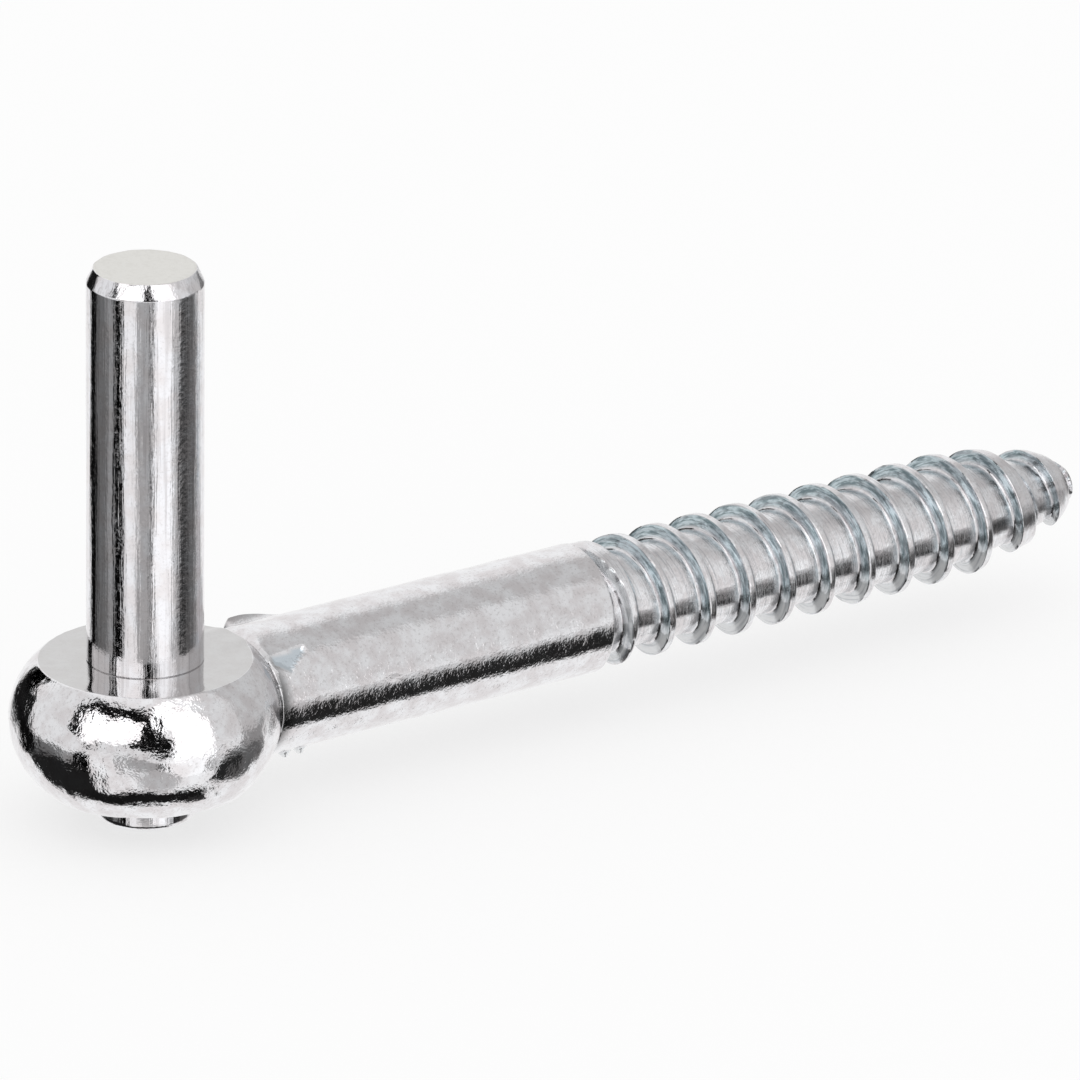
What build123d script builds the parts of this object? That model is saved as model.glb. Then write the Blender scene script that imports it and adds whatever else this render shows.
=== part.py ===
from build123d import *
from math import cos, radians, sin, sqrt
import os

# A screw-in pintle: a forged eye on a coach-screw shank, with a round pin fixed upright in the eye.
# The origin is on the pin's axis, at the eye's upper flat. +Z is up the pin, and +X runs along the
# screw towards its tip. Millimetres.

# Pin
PIN_R = 7.0
PIN_TOP_Z = 49.2
PIN_CHAMFER_LENGTH = 1.7
PIN_CHAMFER_INSET = 0.83
SHOULDER_DEPTH = 1.0  # the pin's coned shoulder sits in the countersunk mouth of the eye's bore
TENON_R = 6.0
TENON_PROUD = 4.1  # below the eye
TENON_ROUND = 1.0

# Eye
EYE_HEIGHT = 15.9
EYE_MAX_R = 16.3
EYE_BULGE_R = 10.2
EYE_RIM_ROUND = 0.3

# Shank
SHANK_R = 8.0
SHANK_AXIS_Z = -7.6
SHANK_END_X = 63.0
NECK_START_X = 9.0
NECK_STEP_X = 13.2
NECK_R = 7.45
NECK_END_X = 17.5

# Thread. Angles are in degrees round the screw, from straight up by way of -Y, and x grows with them.
PITCH = 6.0
CREST_R = 7.8
CORE_R = 6.1
CREST_START_X = 63.2  # the shank steps down to the crests
FIRST_CREST_X = 63.9  # the middle of the first crest, at angle 0
CREST_WIDTH = 0.9
EYE_FLANK_SLOPE = 0.18  # how far a flank spreads along the screw per mm of depth
TIP_FLANK_SLOPE = 0.53
GROOVE_OUTER_R = 9.0  # the groove's cutter stands out of the shank to here

# Runout: the groove starts against the first crest, as a hairline, and widens to its full width
RUNOUT_ANGLES = [-12, 130, 360, 480]
RUNOUT_EDGE_X = [SHANK_END_X, SHANK_END_X, 65.7]  # the groove's edge on the eye's side
RUNOUT_ROOT_R = [7.7, 6.3, CORE_R]
FULL_TURNS = 8
TIP_TURNS = 4

# Tip: points of x and radius
TIP_X = 136.8
TIP_END_R = 1.9
CREST_TAPER = [(119.5, CREST_R), (124, 7.3), (127, 6.7), (131, 5.7), (134, 4.4), (136, 2.9)]
ROOT_TAPER = [(119.0, CORE_R), (127.0, 5.2), (132.5, 3.9), (135.6, 2.7), (139.0, 2.0)]

eye_bottom_z = -EYE_HEIGHT
bulge_centre_r = EYE_MAX_R - EYE_BULGE_R
eye_side_edge = CREST_WIDTH / 2 - PITCH  # of a full groove, along the screw from the crest it meets
tip_side_edge = -CREST_WIDTH / 2


def bulge_r(z):
    """The eye's radius at a height."""
    return bulge_centre_r + sqrt(EYE_BULGE_R**2 - (z - SHANK_AXIS_Z) ** 2)


def above_axis(points):
    """Points of x and radius, as points of the XZ plane on the screw's upper side."""
    return [(x, SHANK_AXIS_Z + r) for x, r in points]


def crest_x(angle):
    """Where the crest that bounds the groove on the tip's side is, at an angle round the screw."""
    return FIRST_CREST_X + PITCH * angle / 360


def root_r(x):
    """The groove's depth as a radius, which shrinks towards the tip."""
    if x <= ROOT_TAPER[0][0]:
        return CORE_R
    for (x0, r0), (x1, r1) in zip(ROOT_TAPER, ROOT_TAPER[1:]):
        if x <= x1:
            return r0 + (r1 - r0) * (x - x0) / (x1 - x0)
    return ROOT_TAPER[-1][1]


def groove_section(plane, edge, root):
    """The groove's section: edge is its lip on the eye's side, from the crest on the tip's side."""
    depth = CREST_R - root
    proud = GROOVE_OUTER_R - CREST_R
    with BuildSketch(plane) as section:
        with BuildLine():
            Polyline(
                (root, edge + TIP_FLANK_SLOPE * depth),
                (GROOVE_OUTER_R, edge - TIP_FLANK_SLOPE * proud),
                (GROOVE_OUTER_R, tip_side_edge + EYE_FLANK_SLOPE * proud),
                (root, tip_side_edge - EYE_FLANK_SLOPE * depth),
                close=True,
            )
        make_face()
    return section.sketch


def groove(start_angle, end_angle, start_section, end_section):
    """A stretch of the groove between two sections, each an edge and a root radius."""
    turns = (end_angle - start_angle) / 360
    a = radians(end_angle - start_angle)
    end_plane = Plane((0, 0, PITCH * turns), x_dir=(cos(a), sin(a), 0), z_dir=(sin(a), -cos(a), 0))
    sections = [
        groove_section(Plane.XZ, *start_section),
        groove_section(end_plane, *end_section),
    ]
    with BuildPart() as cutter:
        with BuildLine() as path:
            Helix(PITCH, PITCH * turns, CORE_R)
        sweep(sections=sections, path=path.line, multisection=True, is_frenet=True)
    s = radians(start_angle)
    start = Plane(
        (crest_x(start_angle), 0, SHANK_AXIS_Z), x_dir=(0, -sin(s), cos(s)), z_dir=(1, 0, 0)
    )
    return cutter.part.moved(start.location)


# Each station is an angle and the groove's section there
stations = [
    (angle, (edge - crest_x(angle), root))
    for angle, edge, root in zip(RUNOUT_ANGLES, RUNOUT_EDGE_X, RUNOUT_ROOT_R)
]
full_start = RUNOUT_ANGLES[-1]
full_end = full_start + 360 * FULL_TURNS
stations.append((full_start, (eye_side_edge, CORE_R)))
for turn in range(TIP_TURNS + 1):
    angle = full_end + 360 * turn
    stations.append((angle, (eye_side_edge, root_r(crest_x(angle) - PITCH / 2))))

# The pin, turned from round bar, with a coned shoulder and a tenon that goes through the eye
with BuildPart() as pintle_pin:
    with BuildSketch(Plane.XZ):
        with BuildLine():
            Polyline(
                (0, eye_bottom_z - TENON_PROUD),
                (TENON_R, eye_bottom_z - TENON_PROUD),
                (TENON_R, -SHOULDER_DEPTH),
                (PIN_R, 0),
                (PIN_R, PIN_TOP_Z - PIN_CHAMFER_LENGTH),
                (PIN_R - PIN_CHAMFER_INSET, PIN_TOP_Z),
                (0, PIN_TOP_Z),
                close=True,
            )
        make_face()
    revolve(axis=Axis.Z)
    fillet(pintle_pin.edges().filter_by(GeomType.CIRCLE).sort_by(Axis.Z)[0], radius=TENON_ROUND)

# The eye's flattened ball
with BuildPart() as eye:
    with BuildSketch(Plane.XZ):
        with BuildLine():
            ThreePointArc(
                (bulge_r(0), 0), (EYE_MAX_R, SHANK_AXIS_Z), (bulge_r(eye_bottom_z), eye_bottom_z)
            )
            Polyline(
                (bulge_r(eye_bottom_z), eye_bottom_z), (0, eye_bottom_z), (0, 0), (bulge_r(0), 0)
            )
        make_face()
    revolve(axis=Axis.Z)
    fillet(eye.edges().filter_by(GeomType.CIRCLE).filter_by(Plane.XY), radius=EYE_RIM_ROUND)

# The forged eye with its screw, in one piece
with BuildPart() as eye_screw:
    # Neck, shank and the crests' outline
    with BuildSketch(Plane.XZ):
        with BuildLine():
            Polyline(
                *above_axis([(TIP_X, TIP_END_R), (TIP_X, 0), (NECK_START_X, 0)]),
                *above_axis([(NECK_START_X, NECK_R), (NECK_STEP_X, NECK_R), (NECK_END_X, SHANK_R)]),
                *above_axis([(SHANK_END_X, SHANK_R), (CREST_START_X, CREST_R), *CREST_TAPER]),
                close=True,
            )
        make_face()
    revolve(axis=Axis((0, 0, SHANK_AXIS_Z), (1, 0, 0)))
    # Thread
    for (angle, section), (next_angle, next_section) in zip(stations, stations[1:]):
        add(groove(angle, next_angle, section, next_section), mode=Mode.SUBTRACT)
    add(eye.part)
    Hole(radius=TENON_R)
    with BuildSketch(Plane.XZ):
        with BuildLine():
            Polyline((0, 0), (PIN_R, 0), (TENON_R, -SHOULDER_DEPTH), (0, -SHOULDER_DEPTH), close=True)
        make_face()
    revolve(axis=Axis.Z, mode=Mode.SUBTRACT)

os.makedirs("parts", exist_ok=True)
pintle_pin.part.label = "pintle_pin"
export_step(pintle_pin.part, "parts/pintle_pin.step")
eye_screw.part.label = "eye_screw"
export_step(eye_screw.part, "parts/eye_screw.step")
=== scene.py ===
"""The looks of a screw-in gate pintle: a forged eye on a coach-screw shank, with an upright pin.

Sizes are in millimetres in the CAD part's frame: the origin is on the pin's axis at the eye's upper
flat, +Z is up the pin, and +X runs along the screw to its tip. Angles round the screw start straight
up and go by way of -Y. Meshes are scaled to metres as they are made.
"""

from math import cos, pi, radians, sin, sqrt

import bmesh
import bpy
import numpy as np
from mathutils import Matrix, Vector


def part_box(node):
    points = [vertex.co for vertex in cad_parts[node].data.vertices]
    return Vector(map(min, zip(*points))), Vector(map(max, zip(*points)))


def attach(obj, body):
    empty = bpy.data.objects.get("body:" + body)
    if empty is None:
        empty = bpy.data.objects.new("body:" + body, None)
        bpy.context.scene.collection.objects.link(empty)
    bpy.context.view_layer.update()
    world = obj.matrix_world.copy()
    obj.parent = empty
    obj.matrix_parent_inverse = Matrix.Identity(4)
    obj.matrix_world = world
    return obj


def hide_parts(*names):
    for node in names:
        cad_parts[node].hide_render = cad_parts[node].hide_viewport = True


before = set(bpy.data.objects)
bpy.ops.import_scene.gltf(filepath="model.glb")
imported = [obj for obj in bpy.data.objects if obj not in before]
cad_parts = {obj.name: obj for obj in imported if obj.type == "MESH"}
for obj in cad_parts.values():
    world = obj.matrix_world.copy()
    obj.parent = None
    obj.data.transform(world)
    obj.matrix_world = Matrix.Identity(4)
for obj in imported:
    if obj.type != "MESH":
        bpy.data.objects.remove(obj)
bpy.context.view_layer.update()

MM = 0.001
screw_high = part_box("eye_screw")[1] / MM
pin_low, pin_high = (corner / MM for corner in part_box("pintle_pin"))

# Pin
PIN_R = pin_high.x
PIN_TOP_Z = pin_high.z
PIN_CHAMFER_LENGTH = 1.7
PIN_CHAMFER_INSET = 0.83
TENON_R = 5.97  # a hair inside the bore, so that no two surfaces coincide
TENON_END_Z = pin_low.z
TENON_ROUND = 1.0
TOP_RAGGED = 0.05  # how uneven the chamfer's top edge is
PIN_RIPPLES = [(0.010, 3.2, 31), (0.004, 1.3, 32)]  # depth, wavelength and seed
PIN_DRAWN = 0.16  # the ripples are this much shorter round the pin than along it

# Eye
EYE_MAX_R = screw_high.y
EYE_BULGE_R = 10.2
EYE_BORE_R = 6.03
EYE_RIM_ROUND = 0.45
EYE_BOTTOM_Z = -15.9
BULGE_CENTRE_R = EYE_MAX_R - EYE_BULGE_R
EYE_RIPPLES = [(0.070, 9.0, 3), (0.030, 3.6, 4), (0.011, 1.4, 5)]
EYE_ROOM = 0.14  # keeps the unevenness inside the plain outline
NECK_LIP = 0.24  # the forging's small lip round the neck

# Shank
SHANK_R = 8.0
SHANK_AXIS_Z = -7.6
SHANK_END_X = 63.0
NECK_START_X = 9.0
NECK_R = 7.5
SHANK_RIPPLES = [(0.018, 7.0, 11), (0.009, 2.4, 12)]
SHANK_RIPPLE_MAX = 0.03
# Marks of forging on the shank: where each is along it and round it, and its depth or height
DENT_X, DENT_ANGLE, DENT_DEPTH = 16.9, 46, 0.28
NICK_X, NICK_ANGLE, NICK_DEPTH = 30.3, 84, 0.12
FIN_X, FIN_ANGLE, FIN_HEIGHT = 14.6, 316.5, 1.6
BURRS_X, BURR_ANGLE, BURR_HEIGHT = (18.0, 20.2), 159, 0.85

# Thread
PITCH = 6.0
CREST_R = 7.8
CORE_R = 6.1
FIRST_CREST_X = 64.15
CREST_WIDTH = 0.9
EYE_FLANK_SLOPE = 0.18
TIP_FLANK_SLOPE = 0.53
TIP_X = screw_high.x
THREAD_TURNS = 14
NOSE_R = 2.6
NOSE_LENGTH = 0.9
NOSE_ROOM = 1.3  # the mesh's last whole turn ends at least this far from the tip
TIP_RISE = 0.25  # the tip is bent up a little
TIP_STRETCH = 1.6  # the last turns stand up to this much nearer to the end than the pitch puts them
CREST_TAPER = [(62.9, SHANK_R), (63.15, CREST_R), (119.5, CREST_R), (124, 7.1), (127, 6.2),
               (130, 5.4), (131.5, 4.7), (133.2, 4.0), (136, 2.7)]
ROOT_TAPER = [(119, CORE_R), (127, 5.0), (131, 3.7), (133.6, 2.7), (136, 2.2), (139, 2.0)]
# Runout, by degrees round the screw: x of the groove's lip on the eye's side, and the root's radius
RUNOUT_LIP = [(-12, 63.0), (130, 63.0), (360, 65.85), (380, 66.1), (420, 66.35), (480, 66.6)]
RUNOUT_ROOT = [(-12, 7.95), (60, 6.9), (130, 6.3), (360, CORE_R)]
# How far the first crest's eye side stands nearer to the tip than the pitch puts it
RUNOUT_LAG = [(0, -0.4), (20, -0.05), (60, 0.55), (100, 0.6), (160, 0.35), (300, 0.0)]

FORGING_MASKS = ("flank", "thread", "flat", "corner", "dent", "painted_light_and_burrs")
COLUMNS = 128  # round the screw
EYE_COLUMNS = 240
PIN_COLUMNS = 200
ROUND_SHARES = np.arange(COLUMNS + 1) / COLUMNS  # of a turn, at each column
FLOOR_GAP = 0.2
FLOOR_SIZE = 12  # metres


# Shapes in numbers

def ripple(points, wavelength, seed, waves=14):
    """A smooth uneven value at each point, mostly between -1 and 1."""
    rng = np.random.default_rng(seed)
    directions = rng.normal(size=(waves, points.shape[-1]))
    directions /= np.linalg.norm(directions, axis=1)[:, None]
    lengths = wavelength * rng.uniform(0.7, 1.5, waves)
    phases = rng.uniform(0, 2 * pi, waves)
    angles = points @ (directions / lengths[:, None]).T * 2 * pi + phases
    return np.sin(angles).sum(axis=-1) / sqrt(waves)


def unevenness(points, ripples):
    """A sum of ripples, each given as a depth, a wavelength and a seed."""
    return sum(depth * ripple(points, wavelength, seed) for depth, wavelength, seed in ripples)


def smooth_max(a, b, blend):
    """The larger value, rounded off where the two are within blend of each other."""
    near = np.maximum(blend - np.abs(a - b), 0) / blend
    return np.maximum(a, b) + near * near * blend / 4


def smooth_min(a, b, blend):
    return -smooth_max(-a, -b, blend)


def smooth_step(low, high, value):
    """0 at low and 1 at high, with an even change between. low may be the larger one."""
    t = np.clip((value - low) / (high - low), 0, 1)
    return t * t * (3 - 2 * t)


def hump(value, centre, half_width):
    """1 at the centre, falling smoothly to 0 at half_width from it."""
    t = np.clip(np.abs(value - centre) / half_width, 0, 1)
    return (1 - t * t) ** 2


def along(pairs, value):
    """Straight-line values between pairs."""
    places, heights = zip(*pairs)
    return np.interp(value, places, heights)


# Meshes

def make_piece(name, points, faces, masks):
    """A mesh object from points in millimetres, with one number per point for each mask."""
    mesh = bpy.data.meshes.new(name)
    mesh.from_pydata((np.asarray(points) * MM).tolist(), [], faces)
    for mask, values in masks.items():
        layer = mesh.attributes.new(mask, "FLOAT", "POINT")
        layer.data.foreach_set("value", np.asarray(values, np.float32))
    piece = bpy.data.objects.new(name, mesh)
    bpy.context.scene.collection.objects.link(piece)
    return piece


def grid_faces(ids):
    """The faces of a grid of point numbers. Where neighbours are the same point, a face loses a corner."""
    corners = np.stack([ids[:-1, :-1], ids[:-1, 1:], ids[1:, 1:], ids[1:, :-1]], axis=-1)
    faces = []
    for quad in corners.reshape(-1, 4).tolist():
        face = [p for n, p in enumerate(quad) if p != quad[n - 1]]
        if len(set(face)) > 2:
            faces.append(face)
    return faces


def finish_shading(piece, sharp_angle):
    """Smooth shading, apart from edges sharper than an angle in degrees."""
    piece.data.shade_smooth()
    piece.data.set_sharp_from_angle(angle=radians(sharp_angle))


def arc(centre_r, centre_z, radius, start, end, steps):
    """Points of r and z on an arc, with angles in degrees from straight out."""
    angles = np.radians(np.linspace(start, end, steps + 1))
    return [(centre_r + radius * cos(a), centre_z + radius * sin(a)) for a in angles]


def lathe(profile, columns):
    """Points and a grid of their numbers, for a profile of r and z turned round the Z axis.

    A point with r 0 is made once, and a profile that ends where it starts is closed."""
    angles = np.arange(columns) * 2 * pi / columns
    points, ids = [], np.zeros((len(profile), columns + 1), int)
    for row, (r, z) in enumerate(profile):
        if row and (r, z) == profile[0]:
            ids[row] = ids[0]
            continue
        count = columns if r > 0 else 1
        ids[row] = len(points) + np.arange(columns + 1) % count
        points += [(r * cos(a), r * sin(a), z) for a in angles[:count]]
    return np.array(points), ids


# The eye

def bulge_profile():
    """The eye's section from the bore's top round to the bore's top again."""
    top, bottom = EYE_RIM_ROUND, EYE_BOTTOM_Z + EYE_RIM_ROUND
    reach = EYE_BULGE_R - EYE_RIM_ROUND
    top_angle = np.arcsin((-top - SHANK_AXIS_Z) / reach)
    bottom_angle = np.arcsin((bottom - SHANK_AXIS_Z) / reach)
    top_r = BULGE_CENTRE_R + reach * cos(top_angle)
    bottom_r = BULGE_CENTRE_R + reach * cos(bottom_angle)
    down, up = np.degrees(top_angle), np.degrees(bottom_angle)
    profile = [(EYE_BORE_R, 0)]
    profile += [(r, 0) for r in np.linspace(EYE_BORE_R + 0.5, top_r - 0.2, 8)]
    profile += arc(top_r, -top, EYE_RIM_ROUND, 90, down, 5)
    profile += arc(BULGE_CENTRE_R, SHANK_AXIS_Z, EYE_BULGE_R, down, up, 56)[1:-1]
    profile += arc(bottom_r, bottom, EYE_RIM_ROUND, up, -90, 5)
    profile += [(r, EYE_BOTTOM_Z) for r in np.linspace(bottom_r - 0.3, EYE_BORE_R + 0.15, 6)]
    profile += [(EYE_BORE_R, EYE_BOTTOM_Z + 0.15)]
    profile += [(EYE_BORE_R, z) for z in np.linspace(EYE_BOTTOM_Z + 2, -1, 6)]
    return profile + [profile[0]]


def neck_distance(points):
    """How far points on the eye are from the line where the shank leaves it."""
    round_shank = np.hypot(points[:, 1], points[:, 2] - SHANK_AXIS_Z)
    return np.where(points[:, 0] > 0, round_shank - NECK_R, 99.0)


def make_eye():
    """The flattened ball, hammered uneven between its two flats."""
    points, ids = lathe(bulge_profile(), EYE_COLUMNS)
    radius = np.hypot(points[:, 0], points[:, 1])
    height = points[:, 2] - SHANK_AXIS_Z
    normal_r = (radius - BULGE_CENTRE_R) / EYE_BULGE_R
    on_bulge = smooth_step(0.05, 0.6, normal_r)
    across = points[:, :2] / radius[:, None] * normal_r[:, None]
    normals = np.column_stack([across, height / EYE_BULGE_R])
    edge = neck_distance(points)
    lip = NECK_LIP * hump(edge, 0.3, 0.6)
    hammered = unevenness(points, EYE_RIPPLES) * on_bulge - EYE_ROOM * on_bulge
    push = hammered * (1 - hump(edge, 0.25, 1.2)) + lip * on_bulge
    points += normals * push[:, None]
    flat = (np.abs(height + SHANK_AXIS_Z) < 0.01) & (radius < EYE_MAX_R)
    masks = dict.fromkeys(FORGING_MASKS, np.zeros(len(points))) | {"flat": flat * 1.0}
    return make_piece("eye", points, grid_faces(ids), masks)


# The screw

def neck_line_x(angle):
    """Where the shank meets the bulge, at an angle round the screw."""
    ball_r = BULGE_CENTRE_R + np.sqrt(EYE_BULGE_R**2 - (NECK_R * np.cos(angle)) ** 2)
    return np.sqrt(ball_r**2 - (NECK_R * np.sin(angle)) ** 2)


def shank_radius(x, angle):
    """The neck and the shank, with the marks of forging."""
    degrees = np.degrees(angle)
    radius = NECK_R + (SHANK_R - NECK_R) * smooth_step(12.6, 14.6, x)
    radius -= dent_depth(x, degrees)
    radius -= NICK_DEPTH * nick(x, degrees)
    return radius + FIN_HEIGHT * fin(x, degrees) + BURR_HEIGHT * burrs(x, degrees)


def nick(x, degrees):
    """A short slanted nick."""
    return hump(degrees, NICK_ANGLE, 4) * hump(x - 0.08 * (degrees - NICK_ANGLE), NICK_X, 0.9)


def fin(x, degrees):
    """The forging's flash on the far side, which starts beside the eye."""
    lengthwise = smooth_step(FIN_X, 16.4, x) * smooth_step(25.5, 17.5, x)
    return hump(degrees, FIN_ANGLE, 5.5) * lengthwise


def burrs(x, degrees):
    """Two small burrs underneath."""
    return hump(degrees, BURR_ANGLE, 7) * sum(hump(x, place, 0.95) for place in BURRS_X)


def painted_corner_shade(x, angle):
    """Painted shade: dark in the corner beside the eye and at the fin's start, and the fin a little darker.
    """
    degrees = np.degrees(angle)
    # painted shade in the crease where the shank leaves the eye
    corner = smooth_step(2.0, 0.0, x - neck_line_x(angle)) * hump(degrees, 88, 75)
    start = hump(degrees, FIN_ANGLE, 8) * hump(x, FIN_X + 0.3, 0.9)
    return np.minimum(corner + start + 0.4 * fin(x, degrees), 1)


def dent_depth(x, degrees):
    """A three-cornered dent where the tongs or the die marked the shank."""
    across = (degrees - DENT_ANGLE) * radians(1) * SHANK_R
    forward = x - DENT_X
    upper = across + 1.1 + 0.12 * forward
    lower = 1.8 - across - 0.75 * np.abs(forward + 0.5)
    inside = np.minimum(np.minimum(upper, lower), 2.6 - np.abs(forward))
    raised_edge = 0.06 * hump(inside, -0.25, 0.4)
    return DENT_DEPTH * smooth_step(0, 0.6, inside) - raised_edge


def groove_lip(turn_degrees):
    """Where the groove's lip on the eye's side is."""
    regular = FIRST_CREST_X + (turn_degrees - 360) * PITCH / 360 + CREST_WIDTH / 2
    return np.where(turn_degrees < RUNOUT_LIP[-1][0], along(RUNOUT_LIP, turn_degrees), regular)


def groove_root(turn_degrees, x):
    """The groove's depth as a radius, before its corners are rounded."""
    return np.minimum(along(RUNOUT_ROOT, turn_degrees), along(ROOT_TAPER, x))


def thread_radius(x, angle):
    """The threaded end: the crests' outline, less the groove turn by turn."""
    degrees = np.degrees(angle)
    radius = np.minimum(along(CREST_TAPER, x), nose_radius(x))
    flank = np.zeros_like(radius)
    for turn in range(-1, THREAD_TURNS):
        turned = degrees + 360 * turn
        wander = np.stack([np.cos(angle) * SHANK_R, np.sin(angle) * SHANK_R, turned / 40], -1)
        lip = groove_lip(turned) + 0.05 * ripple(wander, 9.0, 21)
        crest = FIRST_CREST_X - CREST_WIDTH / 2 + PITCH * turned / 360 + along(RUNOUT_LAG, turned)
        crest = crest + 0.05 * ripple(wander, 9.0, 22)
        root = groove_root(turned, x) + 0.04 * ripple(wander, 14.0, 23)
        lip_wall = CREST_R - (x - lip) / TIP_FLANK_SLOPE
        crest_wall = CREST_R - (crest - x) / EYE_FLANK_SLOPE
        groove = smooth_max(smooth_max(root, lip_wall, 0.7), crest_wall, 0.9)
        groove = np.where(turned < RUNOUT_LIP[0][0], 99.0, groove)
        cut = smooth_min(radius, groove, 0.22)
        near_wall = smooth_step(0.35, 0.0, np.abs(groove - crest_wall))
        flank = np.where((groove < radius) & (x > lip), near_wall, flank)
        radius = np.where(x > lip - 1.5, np.minimum(radius, cut), radius)
    return radius, flank


def nose_radius(x):
    """The blunt end, which is nearly flat, and no limit before it."""
    share = np.clip((x - (TIP_X - NOSE_LENGTH)) / NOSE_LENGTH, 0, 1)
    return np.where(share > 0, NOSE_R * (1 - share**2.6) ** (1 / 2.6), SHANK_R)


def screw_rows():
    """Offsets of the mesh rows over one pitch from the shank's end, close together at the crest."""
    crest = FIRST_CREST_X - SHANK_END_X
    half = CREST_WIDTH / 2
    eye_side = [0, 0.05, 0.11, 0.18, 0.26, 0.33, 0.40, 0.50, 0.64, 0.82]
    tip_side = [0, 0.08, 0.2, 0.35, 0.5, 0.66, 0.82, 0.96, 1.1, 1.25, 1.42, 1.62, 1.84, 2.08]
    rows = [crest - half - d for d in eye_side]
    rows += [crest - 0.38, crest - 0.2, crest, crest + 0.2, crest + 0.38]
    rows += [crest + half + d for d in tip_side]
    rows += list(np.arange(crest + half + 2.34, crest - half - 0.95 + PITCH, 0.27))
    return sorted({round(r % PITCH, 4) for r in rows} | {0.0})


class ScrewPoints:
    """The places of the screw's mesh points, as x and a column round the screw."""

    def __init__(self):
        self.places = []
        self.columns = []

    def add(self, x, column):
        """Adds a point and gives its number."""
        self.places.append(x)
        self.columns.append(column)
        return len(self.places) - 1

    def ring(self, x):
        """A row of point numbers once round at x, which ends on the point that it starts from."""
        row = [self.add(x, column) for column in range(COLUMNS)]
        return row + row[:1]

    def centre(self, x):
        """A row with every number the same, for a point on the axis."""
        return [self.add(x, 0)] * (COLUMNS + 1)


def helix_grid(points, helix_x):
    """Rows that follow the helix. The last column is left for join_turns."""
    ids = np.zeros((len(helix_x), COLUMNS + 1), int)
    for row, x in enumerate(helix_x):
        for column in range(COLUMNS):
            ids[row, column] = points.add(x + PITCH * ROUND_SHARES[column], column)
    return ids


def start_grid(points, steps, helix):
    """From a ring at the shank's end to the helix's first row: nothing wide at first, and a pitch
    wide after one turn."""
    ids = np.zeros((len(steps), COLUMNS + 1), int)
    for row, step in enumerate(steps[:-1]):
        for column in range(1, COLUMNS):
            ids[row, column] = points.add(SHANK_END_X + PITCH * step * ROUND_SHARES[column], column)
    ids[:, 0] = helix[0, 0]
    ids[-1] = helix[0]
    ids[:, COLUMNS] = helix[: len(steps), 0]
    return ids


def end_grid(points, steps, helix, last_x):
    """From the helix's last row to a ring a pitch on: a pitch wide at first, and nothing after one turn."""
    ids = np.zeros((len(steps), COLUMNS + 1), int)
    ids[0] = helix[-1]
    for row, step in enumerate(steps[1:], 1):
        for column in range(COLUMNS):
            share = ROUND_SHARES[column]
            ids[row, column] = points.add(last_x + PITCH * (share + step * (1 - share)), column)
    ids[:, COLUMNS] = ids[-1, 0]
    return ids


def join_turns(helix, end):
    """Fills the helix's last column: after a whole turn each row goes on as the row a pitch further."""
    per_pitch = len(end) - 1
    helix[:-per_pitch, COLUMNS] = helix[per_pitch:, 0]
    helix[-per_pitch:, COLUMNS] = end[1:, 0]


def screw_grid():
    """Points as x and angle, and grids of point numbers, from the neck to the nose."""
    rows = np.array(screw_rows())
    steps = np.append(rows, PITCH) / PITCH
    turns = int((TIP_X - NOSE_ROOM - SHANK_END_X) / PITCH)
    helix_x = SHANK_END_X + np.concatenate([rows + PITCH * t for t in range(turns - 1)])
    helix_x = np.append(helix_x, SHANK_END_X + PITCH * (turns - 1))
    points = ScrewPoints()
    helix = helix_grid(points, helix_x)
    start = start_grid(points, steps, helix)
    end = end_grid(points, steps, helix, helix_x[-1])
    join_turns(helix, end)
    shank_x = np.concatenate([[NECK_START_X, 10.5], np.arange(11.5, 24, 0.25),
                              np.arange(24, SHANK_END_X - 1, 0.6), [62.3, 62.6, 62.8, 62.92]])
    shank = np.array([points.ring(x) for x in shank_x] + [start[0]])
    nose_start = helix_x[-1] + PITCH
    nose_x = nose_start + (TIP_X - nose_start) * np.sin(np.linspace(0, pi / 2, 9))[1:]
    nose = np.array([end[-1]] + [points.ring(x) for x in nose_x[:-1]] + [points.centre(nose_x[-1])])
    cap = np.array([points.centre(NECK_START_X), shank[0]])
    angles = 2 * pi * np.array(points.columns) / COLUMNS
    return np.array(points.places), angles, [cap, shank, start, helix, end, nose]


def screw_masks(x, angle, flank):
    """Where the surface differs. Painted light makes the flanks lighter underneath and at the runout, and
    the burrs are lighter too.
    """
    degrees = np.degrees(angle)
    threaded = smooth_step(SHANK_END_X, SHANK_END_X + 1, x)
    under = smooth_step(96, 122, degrees) * smooth_step(275, 250, degrees)
    turned = (x - FIRST_CREST_X) * 360 / PITCH - degrees
    runout = smooth_step(60, 20, turned) * smooth_step(230, 190, degrees)
    # painted light: the flanks lighter on the screw's underside and at the runout
    painted_light_flank = flank * threaded * np.maximum(under, 0.8 * runout)
    return {
        "flank": flank * threaded,
        "thread": threaded,
        "flat": np.zeros(len(x)),
        "corner": painted_corner_shade(x, angle) * (1 - threaded),
        "dent": smooth_step(0.05, 0.15, dent_depth(x, degrees)) * (1 - threaded),
        "painted_light_and_burrs": np.maximum(painted_light_flank, smooth_step(0.02, 0.2, burrs(x, degrees))),
    }


def bent_tip(x):
    """Moves places along the screw to where the uneven tip puts them, and gives the axis's height."""
    axis_z = SHANK_AXIS_Z + TIP_RISE * smooth_step(119, 134, x)
    return x + TIP_STRETCH * smooth_step(122.5, 131, x) * smooth_step(TIP_X, 131.5, x), axis_z


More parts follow.
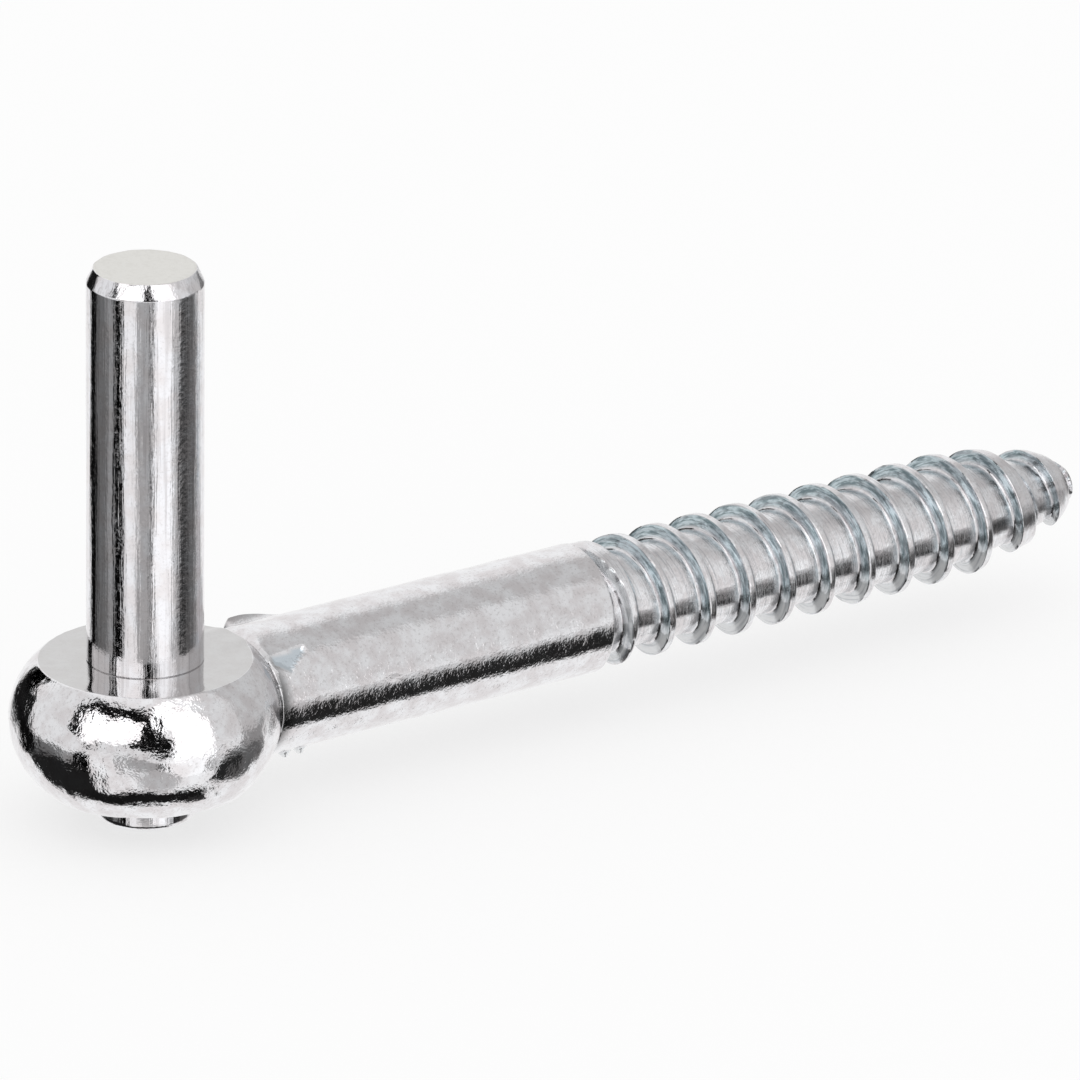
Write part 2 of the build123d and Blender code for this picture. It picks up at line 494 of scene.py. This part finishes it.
def make_screw():
    """The neck, shank, thread and tip as one closed mesh."""
    x, angle, grids = screw_grid()
    thread, flank = thread_radius(x, angle)
    radius = np.where(x < SHANK_END_X - 2, shank_radius(x, angle), thread)
    centres = [grids[0][0, 0], grids[-1][-1, 0]]
    radius[centres] = 0
    outward = np.stack([x, SHANK_R * np.sin(angle), SHANK_R * np.cos(angle)], -1)
    on_shank = smooth_step(NECK_START_X, 16, x) * smooth_step(SHANK_END_X + 1, SHANK_END_X - 1, x)
    uneven = np.minimum(unevenness(outward, SHANK_RIPPLES), SHANK_RIPPLE_MAX)
    radius += uneven * (0.4 + 0.6 * on_shank) * (radius > 0)
    x, axis_z = bent_tip(x)
    points = np.stack([x, -radius * np.sin(angle), axis_z + radius * np.cos(angle)], -1)
    faces = [face for grid in grids for face in grid_faces(grid)]
    return make_piece("screw", points, faces, screw_masks(x, angle, flank))


def facing_out(piece):
    """Turns a closed mesh's faces outward."""
    work = bmesh.new()
    work.from_mesh(piece.data)
    bmesh.ops.recalc_face_normals(work, faces=work.faces)
    if work.calc_volume(signed=True) < 0:
        bmesh.ops.reverse_faces(work, faces=work.faces)
    work.to_mesh(piece.data)
    work.free()


def joined(name, first, second):
    """One mesh from two closed ones."""
    for piece in (first, second):
        facing_out(piece)
    union = first.modifiers.new("join", "BOOLEAN")
    union.operation = "UNION"
    union.solver = "MANIFOLD"
    union.object = second
    graph = bpy.context.evaluated_depsgraph_get()
    mesh = bpy.data.meshes.new_from_object(first.evaluated_get(graph))
    mesh.name = name
    whole = bpy.data.objects.new(name, mesh)
    bpy.context.scene.collection.objects.link(whole)
    for piece in (first, second):
        bpy.data.objects.remove(piece)
    return whole


# The pin

def pin_profile():
    """The pin's section, from the tenon's end up to the middle of the top."""
    shoulder_z = PIN_TOP_Z - PIN_CHAMFER_LENGTH
    end_r = PIN_R - PIN_CHAMFER_INSET
    lower = TENON_END_Z + TENON_ROUND
    profile = [(0, TENON_END_Z), (2.5, TENON_END_Z)]
    profile += arc(TENON_R - TENON_ROUND, lower, TENON_ROUND, -90, 0, 6)
    profile += [(TENON_R, z) for z in (-17.5, -16.5, -15.9, -12, -8, -4, -0.3)]
    profile += [(TENON_R, 0.0), (PIN_R - 0.12, 0.0), (PIN_R, 0.12)]
    profile += [(PIN_R, z) for z in np.linspace(0.6, shoulder_z - 0.25, 44)]
    profile += [(PIN_R, shoulder_z - 0.1), (PIN_R - 0.03, shoulder_z + 0.03)]
    profile += [(PIN_R - 0.12, shoulder_z + 0.2)]
    profile += [(end_r + 0.3, PIN_TOP_Z - 0.62), (end_r + 0.06, PIN_TOP_Z - 0.13)]
    profile += [(end_r, PIN_TOP_Z - 0.04), (end_r - 0.1, PIN_TOP_Z)]
    profile += [(r, PIN_TOP_Z) for r in (end_r - 0.4, end_r - 1.2, 4, 2.6, 1.2)]
    return profile + [(0, PIN_TOP_Z)]


def make_pin():
    """The pin, drawn slightly uneven, with a ragged edge at its top."""
    points, ids = lathe(pin_profile(), PIN_COLUMNS)
    radius = np.hypot(points[:, 0], points[:, 1])
    height = points[:, 2]
    stretched = points * np.array([1, 1, PIN_DRAWN])
    uneven = unevenness(stretched, PIN_RIPPLES) - 0.02
    body = smooth_step(0.3, 2, height) * smooth_step(PIN_TOP_Z - 0.2, PIN_TOP_Z - 2.2, height)
    uneven = uneven * body
    ragged = TOP_RAGGED * ripple(points, 1.8, 33) - TOP_RAGGED
    uneven += ragged * hump(height, PIN_TOP_Z - 0.3, 0.7) * (radius > PIN_R - 1.5)
    scale = np.where(radius > 1, 1 + uneven / np.maximum(radius, 1), 1)
    points[:, :2] *= scale[:, None]
    end_face = (radius < PIN_R - PIN_CHAMFER_INSET - 0.02) & (height > PIN_TOP_Z - 0.05)
    masks = {"end_face": end_face * 1.0}
    return make_piece("gate_pin", points, grid_faces(ids), masks)


# Materials

BUMP_DEPTH = 0.00005  # metres


class Nodes:
    """Short ways to add nodes to a tree."""

    def __init__(self, tree):
        self.tree = tree
        tree.nodes.clear()

    def add(self, kind, inputs=(), **settings):
        node = self.tree.nodes.new(kind)
        for name, value in settings.items():
            setattr(node, name, value)
        for socket, value in dict(inputs).items():
            self.put(node.inputs[socket], value)
        return node

    def put(self, socket, value):
        if isinstance(value, bpy.types.NodeSocket):
            self.tree.links.new(value, socket)
        else:
            socket.default_value = value

    def math(self, operation, *values):
        node = self.add("ShaderNodeMath", operation=operation)
        for socket, value in zip(node.inputs, values):
            self.put(socket, value)
        return node.outputs[0]

    def ramp(self, value, low, high, start=0.0, end=1.0):
        """start below low, end above high, and a smooth change between."""
        inputs = {"Value": value, "From Min": low, "From Max": high, "To Min": start, "To Max": end}
        node = self.add("ShaderNodeMapRange", inputs, interpolation_type="SMOOTHSTEP")
        return node.outputs["Result"]

    def mix(self, factor, a, b):
        node = self.add("ShaderNodeMix", data_type="RGBA")
        for socket, value in zip((node.inputs[0], node.inputs[6], node.inputs[7]), (factor, a, b)):
            self.put(socket, value)
        return node.outputs[2]

    def blend(self, factor, a, b):
        inputs = {"Factor": factor, "A": a, "B": b}
        return self.add("ShaderNodeMix", inputs, data_type="FLOAT").outputs["Result"]

    def noise(self, vector, scale, detail=2.0, rough=0.5):
        inputs = {"Vector": vector, "Scale": scale, "Detail": detail, "Roughness": rough}
        return self.add("ShaderNodeTexNoise", inputs).outputs[0]

    def stretch(self, vector, factors):
        node = self.add("ShaderNodeMapping", {"Vector": vector, "Scale": factors})
        return node.outputs[0]

    def mask(self, name):
        return self.add("ShaderNodeAttribute", attribute_name=name).outputs["Fac"]

    def bump(self, height):
        inputs = {"Height": height, "Distance": BUMP_DEPTH, "Strength": 1.0}
        return self.add("ShaderNodeBump", inputs).outputs[0]


def metal(name, build):
    """A material from a function that gives the metal shader's inputs."""
    material = bpy.data.materials.new(name)
    material.use_nodes = True
    nodes = Nodes(material.node_tree)
    place = nodes.add("ShaderNodeTexCoord").outputs["Object"]
    shader = nodes.add("ShaderNodeBsdfPrincipled", build(nodes, place))
    nodes.add("ShaderNodeOutputMaterial", {"Surface": shader.outputs[0]})
    return material


def round_the_thread(nodes, place):
    """A place that runs along the groove: it repeats each pitch, and has no seam."""
    parts = nodes.add("ShaderNodeSeparateXYZ", {"Vector": place}).outputs
    rise = nodes.math("SUBTRACT", parts[2], SHANK_AXIS_Z * MM)
    angle = nodes.math("ARCTAN2", nodes.math("MULTIPLY", parts[1], -1.0), rise)
    turned = nodes.math("SUBTRACT", nodes.math("MULTIPLY", parts[0], 2 * pi / (PITCH * MM)), angle)
    inputs = {
        "X": nodes.math("COSINE", turned),
        "Y": nodes.math("SINE", turned),
        "Z": nodes.math("MULTIPLY", parts[0], 60.0),
    }
    return nodes.add("ShaderNodeCombineXYZ", inputs).outputs[0]


def round_the_axis(nodes, place):
    """A place that changes quickly with the distance from the screw's axis, and slowly round it."""
    parts = nodes.add("ShaderNodeSeparateXYZ", {"Vector": place}).outputs
    rise = nodes.math("SUBTRACT", parts[2], SHANK_AXIS_Z * MM)
    radius = nodes.math("SQRT", nodes.math("ADD", nodes.math("MULTIPLY", rise, rise),
                                           nodes.math("MULTIPLY", parts[1], parts[1])))
    inputs = {
        "X": nodes.math("MULTIPLY", radius, 1500.0),
        "Y": nodes.math("MULTIPLY", nodes.math("DIVIDE", rise, radius), 1.6),
        "Z": nodes.math("MULTIPLY", nodes.math("DIVIDE", parts[1], radius), 1.6),
    }
    ring = nodes.add("ShaderNodeCombineXYZ", inputs).outputs[0]
    drift = nodes.add("ShaderNodeCombineXYZ", {"X": nodes.math("MULTIPLY", parts[0], 90.0)})
    return nodes.add("ShaderNodeVectorMath", {0: ring, 1: drift.outputs[0]}, operation="ADD").outputs[0]


def forged_colour(nodes, place, rings, streaks):
    """Mottled and specked, ringed flanks, duller streaks along the groove, painted shade and painted light.
    """
    flank, painted_light_and_burrs = nodes.mask("flank"), nodes.mask("painted_light_and_burrs")
    cloud = nodes.noise(place, 420.0, 4.0, 0.6)
    specks = nodes.noise(place, 2800.0, 2.0, 0.6)
    colour = nodes.mix(nodes.ramp(cloud, 0.35, 0.65), (0.88, 0.88, 0.90, 1), (0.74, 0.71, 0.72, 1))
    colour = nodes.mix(nodes.ramp(specks, 0.52, 0.72, 0.0, 0.45), colour, (0.50, 0.48, 0.48, 1))
    turned = nodes.mix(nodes.ramp(rings, 0.36, 0.62), (0.17, 0.23, 0.25, 1), (0.62, 0.72, 0.76, 1))
    # painted light: near-white flanks underneath and at the runout, and lighter burrs
    turned = nodes.mix(painted_light_and_burrs, turned, (0.82, 0.83, 0.84, 1))
    colour = nodes.mix(nodes.math("MAXIMUM", flank, painted_light_and_burrs), colour, turned)
    # painted shade: near black in the corner beside the eye and at the fin's start, and a little on the fin
    colour = nodes.mix(nodes.mask("corner"), colour, (0.10, 0.10, 0.10, 1))
    colour = nodes.mix(nodes.mask("dent"), colour, (0.64, 0.70, 0.75, 1))
    flat = nodes.math("MULTIPLY", nodes.mask("flat"), 0.8)
    colour = nodes.mix(flat, colour, (0.57, 0.565, 0.56, 1))
    worn = nodes.math("MULTIPLY", nodes.mask("thread"), nodes.ramp(streaks, 0.5, 0.66, 0.0, 0.6))
    return nodes.mix(worn, colour, (0.40, 0.42, 0.45, 1))


def forged_relief(nodes, place, rings, streaks):
    """A grain on the shank, streaks along the groove and rings on the flanks, and next to nothing
    on the flats."""
    grain = nodes.noise(place, 1400.0, 2.0)
    fine = nodes.noise(place, 3600.0, 1.0)
    grain = nodes.math("ADD", nodes.math("MULTIPLY", grain, 0.6), nodes.math("MULTIPLY", fine, 0.35))
    turning = nodes.math("MULTIPLY", nodes.blend(nodes.mask("flank"), streaks, rings), 0.5)
    height = nodes.blend(nodes.math("MULTIPLY", nodes.mask("thread"), 0.6), grain, turning)
    depth = nodes.math("SUBTRACT", 1.0, nodes.math("MULTIPLY", nodes.mask("flat"), 0.85))
    return nodes.math("MULTIPLY", height, depth)


def forged_zinc(nodes, place):
    """Bright zinc plate over a forging: grainy on the shank, streaked along the thread."""
    rings = nodes.noise(round_the_axis(nodes, place), 2.2, 3.0, 0.6)
    streaks = nodes.noise(round_the_thread(nodes, place), 14.0, 4.0, 0.6)
    roughness = nodes.ramp(nodes.noise(place, 1700.0, 2.0), 0.45, 0.68, 0.04, 0.13)
    roughness = nodes.math("ADD", roughness, nodes.math("MULTIPLY", nodes.mask("thread"), 0.02))
    metallic = nodes.math("SUBTRACT", 1.0, nodes.math("MULTIPLY", nodes.mask("flank"), 0.25))
    # less metallic where light is painted on the flanks, and on the burrs, so that they read lighter
    metallic = nodes.math("SUBTRACT", metallic, nodes.math("MULTIPLY", nodes.mask("painted_light_and_burrs"), 0.4))
    return {
        "Base Color": forged_colour(nodes, place, rings, streaks),
        "Roughness": roughness,
        "Metallic": metallic,
        "Normal": nodes.bump(forged_relief(nodes, place, rings, streaks)),
    }


def drawn_zinc(nodes, place):
    """Bright zinc plate over drawn bar, with fine lines along the pin."""
    end_face = nodes.mask("end_face")
    lengthwise = nodes.stretch(place, (1.0, 1.0, 0.035))
    lines = nodes.noise(lengthwise, 2600.0, 3.0, 0.6)
    grain = nodes.noise(place, 1700.0, 3.0, 0.6)
    cloud = nodes.noise(place, 350.0, 3.0)
    colour = nodes.mix(nodes.ramp(cloud, 0.35, 0.65), (0.87, 0.87, 0.90, 1), (0.80, 0.77, 0.78, 1))
    drawn = nodes.noise(lengthwise, 1500.0, 2.0, 0.6)
    colour = nodes.mix(nodes.ramp(drawn, 0.48, 0.68, 0.0, 0.5), colour, (0.52, 0.50, 0.51, 1))
    specks = nodes.noise(place, 2400.0, 2.0, 0.6)
    colour = nodes.mix(nodes.ramp(specks, 0.52, 0.7, 0.0, 0.2), colour, (0.50, 0.48, 0.48, 1))
    colour = nodes.mix(end_face, colour, (0.76, 0.75, 0.72, 1))
    height = nodes.math("ADD", nodes.math("MULTIPLY", lines, 0.6), nodes.math("MULTIPLY", grain, 0.4))
    roughness = nodes.ramp(nodes.noise(place, 1900.0, 2.0), 0.45, 0.68, 0.05, 0.18)
    roughness = nodes.math("ADD", roughness, nodes.math("MULTIPLY", end_face, 0.3))
    return {
        "Base Color": colour,
        "Roughness": roughness,
        "Metallic": 1.0,
        "Normal": nodes.bump(height),
    }


# The studio

# Soft panels as the metal sees them: azimuth from the front (-Y) towards the tip, elevation,
# in degrees, how soft the edge is, and how bright. Later ones lie over earlier ones.
PANELS = [
    ((52, 130), (-12, 80), 20, 0.60),
    ((26, 58), (-8, 62), 14, 0.76),
    ((-150, -20), (-14, 62), 12, 0.82),
    ((-42, -6), (-53, -22), 14, 0.55),
    ((-51, -24), (-28, -13), 4, 0.42),
    ((-187, -150), (-18, 11), 5, 0.01),
    ((-184, -160), (5, 34), 4, 0.0),
    ((-168, -140), (-27, -9), 4, 0.004),
    ((-142, -112), (-28, -12), 4, 0.15),
    ((-156, -78), (-60, -25), 6, 0.015),
    ((-114, -99), (-28, -15), 3, 0.30),
    ((-99, -78), (-30, -16), 3, 0.002),
    ((-84, -74), (-8, 4), 4, 0.08),
    ((-135, 56), (-87, -56), 5, 0.01),
    ((48, 88), (-72, -61), 4, 0.03),
    ((25, 38), (-30, -12), 4, 0.65),
    ((38, 86), (-31, -13), 5, 0.19),
    ((52, 76), (-42, -16), 7, 0.12),
    ((33, 56), (-49, -20), 7, 0.02),
    ((56, 86), (-18, -3), 8, 0.32),
    ((97, 122), (-18, 3), 7, 0.2),
    ((-104, -18), (42, 59), 3, 0.005),
    ((-39, -18), (8, 59), 3, 0.005),
    ((-48, -8), (-3, 12), 3, 0.005),
    ((-105, -88), (12, 44), 3, 0.01),
    ((-92, -37), (7, 43), 3, 1.5),
    ((-20, 25), (26, 64), 4, 1.6),
    ((-9, 25), (-12, 34), 5, 1.5),
    ((-18, 21), (-32, -12), 4, 1.12),
    ((-25, -18), (-27, -15), 3, 0.15),
    ((21, 25), (-30, -12), 2, 0.3),
]
PANEL_BASE = 0.95
SEAM_TURN = 30  # puts the azimuth's jump where no panel is
ROOM_LIGHT = 1.0


def between(nodes, value, low, high, soft):
    """1 between low and high, and 0 outside, with soft edges."""
    rise = nodes.ramp(value, low - soft / 2, low + soft / 2)
    fall = nodes.ramp(value, high - soft / 2, high + soft / 2, 1.0, 0.0)
    return nodes.math("MULTIPLY", rise, fall)


def make_studio_light():
    """White room light, with soft bright and dark panels that only the metal's reflections see."""
    world = bpy.data.worlds.new("studio")
    world.use_nodes = True
    bpy.context.scene.world = world
    nodes = Nodes(world.node_tree)
    direction = nodes.add("ShaderNodeTexCoord").outputs["Generated"]
    turned = nodes.add("ShaderNodeVectorRotate", {"Vector": direction, "Angle": radians(SEAM_TURN)},
                       rotation_type="Z_AXIS")
    parts = nodes.add("ShaderNodeSeparateXYZ", {"Vector": turned.outputs[0]}).outputs
    angle = nodes.math("ARCTAN2", parts[0], nodes.math("MULTIPLY", parts[1], -1.0))
    azimuth = nodes.math("SUBTRACT", nodes.math("DEGREES", angle), SEAM_TURN)
    elevation = nodes.math("DEGREES", nodes.math("ARCSINE", parts[2]))
    tone = PANEL_BASE
    for sides, heights, soft, bright in PANELS:
        wide = between(nodes, azimuth, *sides, soft)
        mask = nodes.math("MULTIPLY", wide, between(nodes, elevation, *heights, soft))
        keep = nodes.math("MULTIPLY", tone, nodes.math("SUBTRACT", 1.0, mask))
        tone = nodes.math("ADD", keep, nodes.math("MULTIPLY", mask, bright))
    glossy = nodes.add("ShaderNodeLightPath").outputs["Is Glossy Ray"]
    room = nodes.add("ShaderNodeBackground", {"Color": (1, 1, 1, 1), "Strength": ROOM_LIGHT})
    panels = nodes.add("ShaderNodeBackground", {"Color": (1, 1, 1, 1), "Strength": tone})
    mixed = nodes.add("ShaderNodeMixShader", {0: glossy, 1: room.outputs[0], 2: panels.outputs[0]})
    nodes.add("ShaderNodeOutputWorld", {"Surface": mixed.outputs[0]})


def make_floor():
    """A plain pale floor just below the tenon, which the metal doesn't reflect."""
    bpy.ops.mesh.primitive_plane_add(size=FLOOR_SIZE, location=(0, 0, (TENON_END_Z - FLOOR_GAP) * MM))
    floor = bpy.context.object
    floor.name = "floor"
    material = bpy.data.materials.new("pale_floor")
    material.use_nodes = True
    shader = material.node_tree.nodes["Principled BSDF"]
    shader.inputs["Base Color"].default_value = (0.3, 0.3, 0.3, 1)
    shader.inputs["Emission Color"].default_value = (1, 1, 1, 1)
    shader.inputs["Emission Strength"].default_value = 0.68
    shader.inputs["Roughness"].default_value = 1.0
    shader.inputs["Specular IOR Level"].default_value = 0.0
    floor.data.materials.append(material)
    floor.visible_glossy = False


def make_camera():
    """A long lens from the front left, above the eye."""
    azimuth, elevation = radians(-34.06), radians(21.64)
    distance = 1803.0
    side_aim, up_aim = 46.76, 13.9
    back = Vector((sin(azimuth) * cos(elevation), -cos(azimuth) * cos(elevation), sin(elevation)))
    side = Vector((cos(azimuth), sin(azimuth), 0))
    up = back.cross(side)
    target = side * side_aim + up * up_aim
    data = bpy.data.cameras.new("camera")
    data.sensor_width = 36
    data.lens = 507.5
    data.clip_start, data.clip_end = 0.05, 50
    camera = bpy.data.objects.new("camera", data)
    bpy.context.scene.collection.objects.link(camera)
    place = back * distance
    camera.location = place * MM
    camera.rotation_mode = "QUATERNION"
    swing = (-back).rotation_difference(target - place)
    camera.rotation_quaternion = swing @ (-back).to_track_quat("-Z", "Y")
    bpy.context.scene.camera = camera


def place_on_frame(piece, node, material):
    """Puts a piece in the place of a CAD node."""
    piece.data.materials.clear()
    piece.data.materials.append(material)
    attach(piece, "root")
    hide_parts(node)


make_camera()
make_studio_light()
make_floor()
bpy.context.scene.view_settings.view_transform = "Standard"

forging = joined("forged_eye_screw", make_eye(), make_screw())
finish_shading(forging, 42)
pin = make_pin()
facing_out(pin)
finish_shading(pin, 35)
place_on_frame(forging, "eye_screw", metal("forged_zinc", forged_zinc))
place_on_frame(pin, "pintle_pin", metal("drawn_zinc", drawn_zinc))
